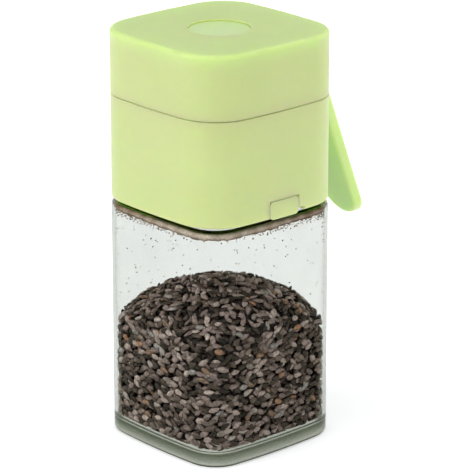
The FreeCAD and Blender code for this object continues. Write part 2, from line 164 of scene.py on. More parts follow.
@dataclass(frozen=True)
class MouldedPlastic:
    """Injection-moulded polypropylene: one pigment, slow flow clouds and a fine satin grain."""

    # Light soaks into the wall and comes out greener, so edges glow and the shine is broad and soft.
    # The real grain is about 0.1 mm and too fine to show, so it is drawn coarser.
    name: str
    pigment: str
    cloud: str
    roughness: float = 0.4
    roughness_spread: float = 0.04
    index: float = 1.49
    soak_mm: float = 9.0
    soak_shares: tuple = (0.6, 1.0, 0.25)
    flow_mm: float = 32.0
    sheen_patch_mm: float = 9.0
    grain_mm: float = 0.55
    grain_depth_mm: float = 0.006

    def build(self) -> bpy.types.Material:
        """Make the material.

        Returns:
            The material: light soaks in, and the grain breaks up its soft shine.
        """
        material, tree, place = new_material(self.name)
        flow = add_node(tree, "ShaderNodeTexNoise", sized(place, self.flow_mm))
        share = add_node(tree, "ShaderNodeMapRange", {**CLOUDS, "Value": flow})
        colour = add_node(tree, "ShaderNodeMix", {
            "Factor": share,
            FIRST_COLOUR: linear(self.pigment),
            SECOND_COLOUR: linear(self.cloud),
        }, data_type="RGBA")
        patches = add_node(tree, "ShaderNodeTexNoise", sized(place, self.sheen_patch_mm))
        sheen = add_node(tree, "ShaderNodeMapRange", {
            **CLOUDS,
            "Value": patches,
            "To Min": self.roughness - self.roughness_spread,
            "To Max": self.roughness + self.roughness_spread,
        })
        grain = add_node(tree, "ShaderNodeTexNoise", sized(place, self.grain_mm))
        relief = add_node(tree, "ShaderNodeBump", {
            "Height": grain,
            "Distance": self.grain_depth_mm * MM,
            "Strength": 1.0,
        })
        shader = add_node(tree, "ShaderNodeBsdfPrincipled", {
            "Base Color": colour.outputs[MIXED_COLOUR],
            "Roughness": sheen,
            "IOR": self.index,
            "Subsurface Weight": 1.0,
            "Subsurface Radius": self.soak_shares,
            "Subsurface Scale": self.soak_mm * MM,
            "Normal": relief,
        })
        add_node(tree, "ShaderNodeOutputMaterial", {"Surface": shader})
        return material


@dataclass(frozen=True)
class SodaLimeGlass:
    """Pressed soda-lime glass: clear in the walls, grey-green where it is thick, gently wavy.

    It is seen as through a polarising filter: glancing reflections stay and face-on glare goes.
    """

    # What stands behind the walls shows bent and a little wavy, and the thick base looks grey-green.
    # Light caught between the thin walls leaves after a few bounces, tinted like a glass edge.
    # Each time that light has scattered off something matt, it may bounce a few times more.
    name: str = "pressed_soda_lime_glass"
    tint: str = "#F5F5F5"
    clear_tint: str = "#FAFAFA"
    depth_tint: str = "#CBD0C4"
    edge_tint: str = "#C0C3A6"
    absorption: float = 240.0
    inner_bounces: float = 3.5
    bounces_per_scatter: float = 2.0
    index: float = 1.52
    glare_start: float = 0.09
    wave_mm: float = 16.0
    wave_depth_mm: float = 0.05

    def build(self) -> bpy.types.Material:
        """Make the material.

        Returns:
            The material: lamps shine through it onto what the jar holds.
        """
        material, tree, place = new_material(self.name)
        waves = sized(place, self.wave_mm)
        swell = add_node(tree, "ShaderNodeTexNoise", {**waves, "Detail": 0.0})
        wavy = add_node(tree, "ShaderNodeBump", {
            "Height": swell,
            "Distance": self.wave_depth_mm * MM,
            "Strength": 1.0,
        })
        colour = add_node(tree, "ShaderNodeMix", {
            "Factor": add_node(tree, "ShaderNodeTexNoise", waves),
            FIRST_COLOUR: linear(self.clear_tint),
            SECOND_COLOUR: linear(self.tint),
        }, data_type="RGBA")
        through = add_node(tree, "ShaderNodeBsdfRefraction", {
            "Color": colour.outputs[MIXED_COLOUR],
            "Roughness": 0.0,
            "IOR": self.index,
            "Normal": wavy,
        })
        mirror = add_node(tree, "ShaderNodeBsdfGlossy", {"Roughness": 0.0, "Normal": wavy})
        glance = add_node(tree, "ShaderNodeFresnel", {"IOR": self.index, "Normal": wavy})
        share = add_node(tree, "ShaderNodeMapRange", {"Value": glance, "From Min": self.glare_start})
        both = add_node(tree, "ShaderNodeMixShader", {0: share, 1: through, 2: mirror})
        path = add_node(tree, "ShaderNodeLightPath").outputs
        limit = add_node(tree, "ShaderNodeMath", {
            0: path["Diffuse Depth"],
            1: self.bounces_per_scatter,
            2: self.inner_bounces,
        }, operation="MULTIPLY_ADD")
        late = add_node(tree, "ShaderNodeMath", {
            0: path["Ray Depth"],
            1: limit,
        }, operation="GREATER_THAN")
        edge = add_node(tree, "ShaderNodeBsdfTransparent", {"Color": linear(self.edge_tint)})
        led = add_node(tree, "ShaderNodeMixShader", {0: late, 1: both, 2: edge})
        clear = add_node(tree, "ShaderNodeBsdfTransparent", {"Color": linear(self.clear_tint)})
        surface = add_node(tree, "ShaderNodeMixShader", {0: path["Is Shadow Ray"], 1: led, 2: clear})
        inside = add_node(tree, "ShaderNodeVolumeAbsorption", {
            "Color": linear(self.depth_tint),
            "Density": self.absorption,
        })
        add_node(tree, "ShaderNodeOutputMaterial", {"Surface": surface, "Volume": inside})
        return material


@dataclass(frozen=True)
class SesameHusk:
    """Dry black sesame: charcoal husks, each seed its own tone, some brown, faintly waxy."""

    # Each seed is mottled and softly lit, with a dull wax shine on its wrinkles. The darkest tones also stand
    # as painted shade, on the under layers and the core of the heap.
    name: str = "black_sesame_husk"
    tones: tuple = (
        (0.0, "#1A1311"),
        (0.35, "#584A43"),
        (0.75, "#998781"),
        (0.92, "#C2B0A8"),
        (0.95, "#969390"),
        (0.975, "#85705F"),
        (1.0, "#A67B60"),
    )
    mottle_mm: float = 0.9
    mottle_range: tuple = (0.6, 1.4)
    roughness_range: tuple = (0.36, 0.56)
    wax: float = 0.45
    wrinkle_mm: float = 0.35
    wrinkle_depth_mm: float = 0.04

    def build(self) -> bpy.types.Material:
        """Make the material.

        Returns:
            The material, which reads each seed's tone from its mesh.
        """
        material, tree, place = new_material(self.name)
        tone = add_node(tree, "ShaderNodeAttribute", attribute_name=TONE).outputs["Fac"]
        ramp = add_node(tree, "ShaderNodeValToRGB", {"Fac": tone})
        points = ramp.color_ramp.elements
        for spot, colour in self.tones[1:-1]:
            points.new(spot).color = linear(colour)
        points[0].color = linear(self.tones[0][1])
        points[-1].color = linear(self.tones[-1][1])
        mottle = add_node(tree, "ShaderNodeTexNoise", sized(place, self.mottle_mm))
        value, roughness = [
            add_node(tree, "ShaderNodeMapRange", {
                **CLOUDS,
                "Value": mottle,
                "To Min": low,
                "To Max": high,
            })
            for low, high in (self.mottle_range, self.roughness_range)
        ]
        wrinkles = add_node(tree, "ShaderNodeTexNoise", sized(place, self.wrinkle_mm))
        relief = add_node(tree, "ShaderNodeBump", {
            "Height": wrinkles,
            "Distance": self.wrinkle_depth_mm * MM,
            "Strength": 1.0,
        })
        shader = add_node(tree, "ShaderNodeBsdfPrincipled", {
            "Base Color": add_node(tree, "ShaderNodeHueSaturation", {"Color": ramp, "Value": value}),
            "Roughness": roughness,
            "Specular IOR Level": self.wax,
            "Normal": relief,
        })
        add_node(tree, "ShaderNodeOutputMaterial", {"Surface": shader})
        return material


@dataclass(frozen=True)
class SpiceDust:
    """Ground spice that clings to the glass: pale to dark brown, dull all over."""

    # Hardly any shine, and a cloudy brown that darkens where the dust lies thicker; on the smear under the
    # collar the darker tone is painted shade.
    name: str = "ground_spice_dust"
    pale: str = "#D6C6B7"
    dark: str = "#72563E"
    mottle_mm: float = 0.7
    mottle_range: tuple = (0.7, 1.2)
    roughness: float = 0.85

    def build(self) -> bpy.types.Material:
        """Make the material.

        Returns:
            The material, which reads each crumb's tone from its mesh.
        """
        material, tree, place = new_material(self.name)
        tones = add_node(tree, "ShaderNodeMix", {
            "Factor": add_node(tree, "ShaderNodeAttribute", attribute_name=TONE).outputs["Fac"],
            FIRST_COLOUR: linear(self.pale),
            SECOND_COLOUR: linear(self.dark),
        }, data_type="RGBA")
        clouds = add_node(tree, "ShaderNodeTexNoise", sized(place, self.mottle_mm))
        mottle = add_node(tree, "ShaderNodeMapRange", {
            **CLOUDS,
            "Value": clouds,
            "To Min": self.mottle_range[0],
            "To Max": self.mottle_range[1],
        })
        colour = add_node(tree, "ShaderNodeHueSaturation", {
            "Color": tones.outputs[MIXED_COLOUR],
            "Value": mottle,
        })
        shader = add_node(tree, "ShaderNodeBsdfPrincipled", {
            "Base Color": colour,
            "Roughness": self.roughness,
        })
        add_node(tree, "ShaderNodeOutputMaterial", {"Surface": shader})
        return material


@dataclass(frozen=True)
class Silicone:
    """Moulded food-grade silicone: milky, soft to light, with a faint bloom on its skin."""

    # Its edges look lit from within, and patches of bloom dull the shine.
    name: str = "moulded_white_silicone"
    milk: str = "#E6E8E0"
    bloom: str = "#D5D9CE"
    bloom_mm: float = 6.0
    roughness_range: tuple = (0.5, 0.68)
    index: float = 1.41
    soak: float = 0.3
    soak_mm: float = 1.0

    def build(self) -> bpy.types.Material:
        """Make the material.

        Returns:
            The material: light soaks a little way in, and the bloom dulls the shine in patches.
        """
        material, tree, place = new_material(self.name)
        clouds = add_node(tree, "ShaderNodeTexNoise", sized(place, self.bloom_mm))
        colour = add_node(tree, "ShaderNodeMix", {
            "Factor": add_node(tree, "ShaderNodeMapRange", {**CLOUDS, "Value": clouds}),
            FIRST_COLOUR: linear(self.milk),
            SECOND_COLOUR: linear(self.bloom),
        }, data_type="RGBA")
        roughness = add_node(tree, "ShaderNodeMapRange", {
            **CLOUDS,
            "Value": clouds,
            "To Min": self.roughness_range[0],
            "To Max": self.roughness_range[1],
        })
        shader = add_node(tree, "ShaderNodeBsdfPrincipled", {
            "Base Color": colour.outputs[MIXED_COLOUR],
            "Roughness": roughness,
            "IOR": self.index,
            "Subsurface Weight": self.soak,
            "Subsurface Scale": self.soak_mm * MM,
        })
        add_node(tree, "ShaderNodeOutputMaterial", {"Surface": shader})
        return material


@dataclass(frozen=True)
class DrawnSteel:
    """Drawn stainless wire and pin stock: bright, with fine marks left on it by the die."""

    # Bright grey metal, its shine broken by the marks, which are drawn coarser so that they show.
    name: str = "drawn_stainless_steel"
    bright: str = "#C9CBCC"
    dull: str = "#A3A6A8"
    mark_mm: float = 0.25
    roughness_range: tuple = (0.22, 0.38)

    def build(self) -> bpy.types.Material:
        """Make the material.

        Returns:
            The material: tone and roughness follow the drawn marks.
        """
        material, tree, place = new_material(self.name)
        marks = add_node(tree, "ShaderNodeTexNoise", sized(place, self.mark_mm))
        colour = add_node(tree, "ShaderNodeMix", {
            "Factor": add_node(tree, "ShaderNodeMapRange", {**CLOUDS, "Value": marks}),
            FIRST_COLOUR: linear(self.bright),
            SECOND_COLOUR: linear(self.dull),
        }, data_type="RGBA")
        roughness = add_node(tree, "ShaderNodeMapRange", {
            **CLOUDS,
            "Value": marks,
            "To Min": self.roughness_range[0],
            "To Max": self.roughness_range[1],
        })
        shader = add_node(tree, "ShaderNodeBsdfPrincipled", {
            "Base Color": colour.outputs[MIXED_COLOUR],
            "Metallic": 1.0,
            "Roughness": roughness,
        })
        add_node(tree, "ShaderNodeOutputMaterial", {"Surface": shader})
        return material


@dataclass(frozen=True)
class StudioFloor:
    """Matt white paper over a light table, with a barely seen fibre."""

    # Even and shineless, and lit a little from below so that shadows stay faint.
    name: str = "matt_studio_paper"
    paper: str = "#FBFBFA"
    fibre: str = "#F7F7F6"
    fibre_mm: float = 60.0
    roughness: float = 0.9
    shine: float = 0.1
    glow: float = 0.3

    def build(self) -> bpy.types.Material:
        """Make the material.

        Returns:
            The material.
        """
        material, tree, place = new_material(self.name)
        colour = add_node(tree, "ShaderNodeMix", {
            "Factor": add_node(tree, "ShaderNodeTexNoise", sized(place, self.fibre_mm)),
            FIRST_COLOUR: linear(self.paper),
            SECOND_COLOUR: linear(self.fibre),
        }, data_type="RGBA")
        shader = add_node(tree, "ShaderNodeBsdfPrincipled", {
            "Base Color": colour.outputs[MIXED_COLOUR],
            "Roughness": self.roughness,
            "Specular IOR Level": self.shine,
            "Emission Color": linear(self.paper),
            "Emission Strength": self.glow,
        })
        add_node(tree, "ShaderNodeOutputMaterial", {"Surface": shader})
        return material


def new_object(name: str, mesh: bpy.types.Mesh) -> bpy.types.Object:
    """Put a mesh into the scene as an object at the origin.

    Args:
        name: name of the piece.
        mesh: its mesh, in place.

    Returns:
        The object.
    """
    piece = bpy.data.objects.new(name, mesh)
    bpy.context.scene.collection.objects.link(piece)
    return piece


def loft(name: str, rings: list[list[Vector]], ends: Ends) -> bpy.types.Mesh:
    """Join rings of equal count into a smooth skin.

    Args:
        name: name of the mesh.
        rings: points of each ring, in order along the skin.
        ends: open, filled to a middle point, or looped from the last ring back to the first.

    Returns:
        The mesh, with its faces turned outwards where it is closed.
    """
    shape = bmesh.new()
    rows = [[shape.verts.new(point) for point in ring] for ring in rings]
    count = len(rows[0])
    if ends is Ends.LOOPED:
        rows.append(rows[0])
    for low, high in zip(rows, rows[1:]):
        for index in range(count):
            after = (index + 1) % count
            shape.faces.new((low[index], low[after], high[after], high[index]))
    if ends is Ends.FILLED:
        for row in (rows[0], rows[-1]):
            middle = shape.verts.new(sum((vert.co for vert in row), Vector()) / count)
            for index in range(count):
                shape.faces.new((row[index], row[(index + 1) % count], middle))
    if ends is not Ends.OPEN:
        bmesh.ops.recalc_face_normals(shape, faces=shape.faces)
    for face in shape.faces:
        face.smooth = True
    mesh = bpy.data.meshes.new(name)
    shape.to_mesh(mesh)
    shape.free()
    return mesh


def set_share(mesh: bpy.types.Mesh, label: str, shares: np.ndarray) -> None:
    """Keep a share for each point of a mesh, such as its tone or how densely grains lie there.

    Args:
        mesh: mesh that keeps the shares.
        label: name of the attribute.
        shares: share for each point, drawn into 0 to 1.
    """
    attribute = mesh.attributes.new(label, "FLOAT", "POINT")
    attribute.data.foreach_set("value", np.clip(shares, 0, 1).astype(np.float32))


@dataclass(frozen=True)
class SesameSeed:
    """Flattened teardrop seed, lying along X with its flat side up."""

    length_mm: float = 3.7
    width_mm: float = 2.1
    thickness_mm: float = 1.15
    ring_shares: tuple = (0.08, 0.32, 0.6, 0.87)
    sides: int = 8
    # Powers that move the widest place towards one end and fill out the sides.
    lean: float = 0.75
    fullness: float = 0.8

    def build(self) -> bpy.types.Object:
        """Make the shape that is strewn.

        Returns:
            A helper object that holds one seed at the origin.
        """
        rings = []
        for share in self.ring_shares:
            swell = math.sin(math.pi * share ** self.lean) ** self.fullness
            ring = []
            for side in range(self.sides):
                angle = FULL_TURN * side / self.sides
                across = self.width_mm / 2 * swell * math.cos(angle)
                up = self.thickness_mm / 2 * swell * math.sin(angle)
                ring.append(Vector(((share - 0.5) * self.length_mm, across, up)) * MM)
            rings.append(ring)
        mesh = loft("sesame_seed", rings, Ends.FILLED)
        for tip in mesh.vertices[-2:]:
            tip.co.x = math.copysign(self.length_mm / 2, tip.co.x) * MM
        return new_object("sesame_seed", mesh)


@dataclass(frozen=True)
class Crumb:
    """Angular crumb of ground spice."""

    size_mm: float = 0.55
    flatness: float = 0.6
    # Each corner is pushed in or out by up to the chipping, and the turn makes that uneven.
    chipping: float = 0.3
    chip_turn: float = 7.0

    def build(self) -> bpy.types.Object:
        """Make the shape that is strewn.

        Returns:
            A helper object that holds one crumb at the origin.
        """
        shape = bmesh.new()
        bmesh.ops.create_icosphere(shape, subdivisions=0, radius=self.size_mm / 2 * MM)
        for vert in shape.verts:
            vert.co *= 1 + self.chipping * math.sin(self.chip_turn * vert.index)
            vert.co.z *= self.flatness
        mesh = bpy.data.meshes.new("spice_crumb")
        shape.to_mesh(mesh)
        shape.free()
        return new_object("spice_crumb", mesh)


@dataclass(frozen=True)
class Strewing:
    """How one layer of grains lies on a surface: sizes are shares of the grain's own size."""

    spacing_mm: float
    tilt_deg: float
    seed: int
    spin_deg: float = 180.0
    sink_mm: float = 0.0
    smallest: float = 0.86
    largest: float = 1.12
    # Highest tone that is drawn; the under layers keep it low, as painted shade between the seeds.
    palest: float = 1.0


class StrewTree:
    """Geometry Nodes tree that strews grains over a surface and makes them one mesh."""

    INPUTS = (
        ("Surface", "NodeSocketGeometry"),
        ("Grain", "NodeSocketObject"),
        ("Spacing", "NodeSocketFloat"),
        ("Tilt", "NodeSocketFloat"),
        ("Spin", "NodeSocketFloat"),
        ("Sink", "NodeSocketFloat"),
        ("Smallest", "NodeSocketFloat"),
        ("Largest", "NodeSocketFloat"),
        ("Palest", "NodeSocketFloat"),
        ("Seed", "NodeSocketInt"),
        ("Finish", "NodeSocketMaterial"),
    )
    # Grains tried for each square of the spacing, enough to fill the layer.
    CROWDING = 1.5
    UP = (0, 0, 1)

    def __init__(self) -> None:
        """Build the tree with its named inputs."""
        self.tree = bpy.data.node_groups.new("strewn_grains", "GeometryNodeTree")
        self.sockets: dict[str, str] = {}
        for name, kind in self.INPUTS:
            socket = self.tree.interface.new_socket(name, in_out="INPUT", socket_type=kind)
            self.sockets[name] = socket.identifier
        self.tree.interface.new_socket("Grains", in_out="OUTPUT", socket_type="NodeSocketGeometry")
        self._wire()

    def _wire(self) -> None:
        """Lay points, place a turned and scaled grain on each, and realise them."""
        tree = self.tree
        given = add_node(tree, "NodeGroupInput").outputs
        cover = add_node(tree, "GeometryNodeInputNamedAttribute", {"Name": COVER}, data_type="FLOAT")
        spacing = given["Spacing"]
        area = add_node(tree, "ShaderNodeMath", {0: spacing, 1: spacing}, operation="MULTIPLY")
        density = add_node(tree, "ShaderNodeMath", {0: self.CROWDING, 1: area}, operation="DIVIDE")
        points = add_node(tree, "GeometryNodeDistributePointsOnFaces", {
            "Mesh": given["Surface"],
            "Distance Min": spacing,
            "Density Max": density,
            "Density Factor": cover,
            "Seed": given["Seed"],
        }, distribute_method="POISSON")
        normal = points.outputs["Normal"]
        drawn = self._draws(given)
        lower = add_node(tree, "ShaderNodeMath", {0: drawn[Draw.SINK], 1: -1.0}, operation="MULTIPLY")
        shift = add_node(tree, "ShaderNodeVectorMath", {0: normal, "Scale": lower}, operation="SCALE")
        laid = add_node(tree, "GeometryNodeSetPosition", {"Geometry": points, "Offset": shift})
        grain = add_node(tree, "GeometryNodeObjectInfo", {"Object": given["Grain"], "As Instance": True})
        size, turn = [
            add_node(tree, "ShaderNodeCombineXYZ", {axis: drawn[draw] for axis, draw in enumerate(draws)})
            for draws in ((Draw.LENGTH, Draw.WIDTH, Draw.HEIGHT), (Draw.ROLL, Draw.PITCH, Draw.SPIN))
        ]
        placed = add_node(tree, "GeometryNodeInstanceOnPoints", {
            "Points": laid,
            "Instance": grain.outputs["Geometry"],
            "Rotation": self._settle(normal),
            "Scale": size,
        })
        turned = add_node(tree, "GeometryNodeRotateInstances", {
            "Instances": placed,
            "Rotation": turn,
            "Local Space": True,
        })
        toned = add_node(tree, "GeometryNodeStoreNamedAttribute", {
            "Geometry": turned,
            "Name": TONE,
            "Value": drawn[Draw.TONE],
        }, data_type="FLOAT", domain="INSTANCE")
        real = add_node(tree, "GeometryNodeRealizeInstances", {"Geometry": toned})
        dressed = add_node(tree, "GeometryNodeSetMaterial", {"Geometry": real, "Material": given["Finish"]})
        add_node(tree, "NodeGroupOutput", {0: dressed})

    def _draws(self, given: Any) -> dict[Draw, bpy.types.NodeSocket]:
        """Draw the random numbers of each grain.

        Args:
            given: the tree's inputs.

        Returns:
            The socket of each number: sink, tone, a size along each axis, and a turn to either side.
        """
        tree = self.tree
        tilt, spin = [
            (add_node(tree, "ShaderNodeMath", {0: given[label], 1: -1.0}, operation="MULTIPLY"), given[label])
            for label in ("Tilt", "Spin")
        ]
        size = given["Smallest"], given["Largest"]
        ranges = {
            Draw.SINK: (0.0, given["Sink"]),
            Draw.TONE: (0.0, given["Palest"]),
            Draw.LENGTH: size,
            Draw.WIDTH: size,
            Draw.HEIGHT: size,
            Draw.ROLL: tilt,
            Draw.PITCH: tilt,
            Draw.SPIN: spin,
        }
        drawn = {}
        for draw, (low, high) in ranges.items():
            steps = {0: given["Seed"], 1: float(draw.value)}
            seed = add_node(tree, "ShaderNodeMath", steps, operation="ADD")
            inputs = {LOWEST: low, HIGHEST: high, "Seed": seed}
            chance = add_node(tree, "FunctionNodeRandomValue", inputs, data_type="FLOAT")
            drawn[draw] = chance.outputs[DRAWN]
        return drawn

    def _settle(self, normal: bpy.types.NodeSocket) -> bpy.types.Node:
        """Lie of a settled grain: flat on the surface, with its length level.

        Args:
            normal: the surface's normal at each grain.

        Returns:
            The node that gives the rotation.
        """
        tree = self.tree
        flat = add_node(tree, "FunctionNodeAlignRotationToVector", {"Vector": normal}, axis="Z")
        level = add_node(tree, "ShaderNodeVectorMath", {0: self.UP, 1: normal}, operation="CROSS_PRODUCT")
        lie = {"Rotation": flat, "Vector": level}
        return add_node(tree, "FunctionNodeAlignRotationToVector", lie, axis="X", pivot_axis="Z")

    def strew(self, name: str, surface: bpy.types.Mesh, grain: bpy.types.Object, way: Strewing,
              finish: bpy.types.Material) -> bpy.types.Object:
        """Strew grains over a surface.

        Args:
            name: name of the new piece.
            surface: mesh that the grains lie on, with its cover kept on it.
            grain: shape of one grain.
            way: how the grains lie.
            finish: material of the grains.

        Returns:
            The grains as one plain mesh piece.
        """
        carrier = new_object(name + "_carrier", surface)
        modifier = carrier.modifiers.new("strew", "NODES")
        modifier.node_group = self.tree
        values = {
            "Grain": grain,
            "Spacing": way.spacing_mm * MM,
            "Tilt": math.radians(way.tilt_deg),
            "Spin": math.radians(way.spin_deg),
            "Sink": way.sink_mm * MM,
            "Smallest": way.smallest,
            "Largest": way.largest,
            "Palest": way.palest,
            "Seed": way.seed,
            "Finish": finish,
        }
        for label, value in values.items():
            modifier[self.sockets[label]] = value
        carrier.update_tag()
        graph = bpy.context.evaluated_depsgraph_get()
        mesh = bpy.data.meshes.new_from_object(
            carrier.evaluated_get(graph), preserve_all_data_layers=True, depsgraph=graph
        )
        mesh.name = name
        carrier.modifiers.remove(modifier)
        bpy.data.objects.remove(carrier)
        return new_object(name, mesh)


@dataclass(frozen=True)
class JarOutline:
    """Rounded square with slightly bowed sides: the plan of the glass body."""

    half_mm: float = 29.2
    corner_mm: float = 11.5
    bow_mm: float = 250.0

    def ring(self, inset_mm: float, z_mm: float, count: int) -> list[Vector]:
        """Points round the plan, drawn in by an inset, at one level.

        Args:
            inset_mm: how far inside the glass body's outline.
            z_mm: level.
            count: number of points.

        Returns:
            The points, in metres.
        """
        back = self.bow_mm - self.half_mm
        reach = self.bow_mm - self.corner_mm
        centre = (math.sqrt(2 * reach ** 2 - back ** 2) - back) / 2
        meet = math.atan2(centre / reach, (centre + back) / reach - back / (self.bow_mm - inset_mm))
        points = []
        for index in range(count):
            angle = FULL_TURN * index / count
            folded = abs((angle + math.pi / 4) % (math.pi / 2) - math.pi / 4)
            if folded < meet:
                off, middle, radius = back, math.pi, self.bow_mm - inset_mm
            else:
                off, middle, radius = centre * math.sqrt(2), math.pi / 4, self.corner_mm - inset_mm
            lean = folded - middle
            reach_mm = off * math.cos(lean) + math.sqrt(radius ** 2 - (off * math.sin(lean)) ** 2)
            points.append(Vector((reach_mm * math.cos(angle), reach_mm * math.sin(angle), z_mm)) * MM)
        return points


@dataclass(frozen=True)
class HeapLayer:
    """One layer of seeds on the heap, at a depth under the skin of its plain solid."""

    name: str
    zone: Zone
    depth_mm: float
    way: Strewing


@dataclass
class SeedHeap:
    """Heap of black sesame: a core, two layers of seeds over it, and seeds flat on the glass; the core and
    the under layers are dark as painted shade.
    """

    husk: bpy.types.Material
    tree: StrewTree
    outline: JarOutline
    merge_mm: float = 0.01
    voxel_mm: float = 1.2
    core_mm: float = 3.2
    draw_steps: int = 2
    ripple_mm: float = 0.5
    ripple_size_mm: float = 7.0
    ripple_sway: float = 1.7
    ripple_sway_rate: float = 0.6
    ripple_cross_rate: float = 0.8
    crown_lean: float = 0.35
    layers: tuple = (
        HeapLayer("seeds_crown_top", Zone.CROWN, 1.1,
                  Strewing(spacing_mm=1.7, tilt_deg=26.0, sink_mm=0.4, seed=11)),
        HeapLayer("seeds_side_top", Zone.SIDE, 1.15,
                  Strewing(spacing_mm=1.7, tilt_deg=20.0, spin_deg=50.0, sink_mm=0.3, seed=17)),
        # The under layers draw only the darkest tones (palest 0.15), as painted shade between the seeds on
        # top.
        HeapLayer("seeds_crown_under", Zone.CROWN, 2.3,
                  Strewing(spacing_mm=1.75, tilt_deg=34.0, sink_mm=0.5, palest=0.15, seed=23)),
        HeapLayer("seeds_side_under", Zone.SIDE, 2.3,
                  Strewing(spacing_mm=1.75, tilt_deg=30.0, spin_deg=50.0, sink_mm=0.4, palest=0.15, seed=31)),
    )
    wall_inset_mm: float = 1.75
    wall_foot_mm: float = 7.2
    crown_radius_mm: float = 44.5
    apex_mm: float = 54.2
    ring_points: int = 160
    wall_rings: int = 60
    wall_layer: Strewing = Strewing(spacing_mm=2.0, tilt_deg=4.0, spin_deg=45.0, seed=41)

    def _body(self, shrink_mm: float) -> bpy.types.Mesh:
        """Copy the plain heap, even out its mesh and draw it in.

        Args:
            shrink_mm: how far the skin is drawn in from the plain solid.

        Returns:
            The mesh of the drawn-in heap.
        """
        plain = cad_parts["sesame_fill"].data.copy()
        shape = bmesh.new()
        shape.from_mesh(plain)
        bmesh.ops.remove_doubles(shape, verts=shape.verts, dist=self.merge_mm * MM)
        shape.to_mesh(plain)
        shape.free()
        carrier = new_object("heap_carrier", plain)
        remesh = carrier.modifiers.new("even", "REMESH")
        remesh.mode = "VOXEL"
        remesh.voxel_size = self.voxel_mm * MM
        graph = bpy.context.evaluated_depsgraph_get()
        mesh = bpy.data.meshes.new_from_object(carrier.evaluated_get(graph))
        carrier.modifiers.remove(remesh)
        bpy.data.objects.remove(carrier)
        for _ in range(self.draw_steps):
            self._draw_in(mesh, shrink_mm / self.draw_steps)
        return mesh

    def _draw_in(self, mesh: bpy.types.Mesh, step_mm: float) -> None:
        """Move every point inwards, with a slow ripple where the heap faces up.

        Args:
            mesh: heap to draw in.
            step_mm: distance.
        """
        rate = FULL_TURN / (self.ripple_size_mm * MM)
        normals = [vert.normal.copy() for vert in mesh.vertices]
        for vert, normal in zip(mesh.vertices, normals):
            place = vert.co * rate
            sway = self.ripple_sway * math.sin(self.ripple_sway_rate * place.y)
            waves = math.sin(place.x + sway) + math.sin(self.ripple_cross_rate * place.y)
            # The two waves, brought to 0 to 1.
            ripple_mm = self.ripple_mm / self.draw_steps * (0.5 + waves / 4)
            vert.co -= normal * (step_mm + ripple_mm * max(normal.z, 0)) * MM
        mesh.update()

    def _wall(self) -> bpy.types.Mesh:
        """Surface just inside the glass, from the heap's foot up to its crown.

        Returns:
            The surface, with its cover kept on it.
        """
        levels = np.linspace(self.wall_foot_mm, self.apex_mm, self.wall_rings)
        rings = [self.outline.ring(self.wall_inset_mm, z, self.ring_points) for z in levels]
        mesh = loft("heap_wall", rings, Ends.OPEN)
        centre = Vector((0, 0, self.apex_mm - self.crown_radius_mm)) * MM
        reach = (self.crown_radius_mm - self.wall_inset_mm / 2) * MM
        set_share(mesh, COVER, np.array([(vert.co - centre).length < reach for vert in mesh.vertices]))
        return mesh

    def build(self) -> list[bpy.types.Object]:
        """Make the heap's pieces and hide its plain solid.

        Returns:
            The core and the seed layers.
        """
        seed = SesameSeed().build()
        # The core has no tone on its mesh, so it takes the husk's darkest colour: painted shade deep in the
        # heap.
        core = new_object("seed_core", self._body(self.core_mm))
        core.data.materials.append(self.husk)
        pieces = [core]
        for layer in self.layers:
            surface = self._body(layer.depth_mm)
            up = np.array([vert.normal.z > self.crown_lean for vert in surface.vertices])
            set_share(surface, COVER, up if layer.zone is Zone.CROWN else ~up)
            pieces.append(self.tree.strew(layer.name, surface, seed, layer.way, self.husk))
        pieces.append(self.tree.strew("seeds_on_glass", self._wall(), seed, self.wall_layer, self.husk))
        bpy.data.objects.remove(seed)
        for piece in pieces:
            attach(piece, Body.JAR.value)
            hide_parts("sesame_fill")
        return pieces


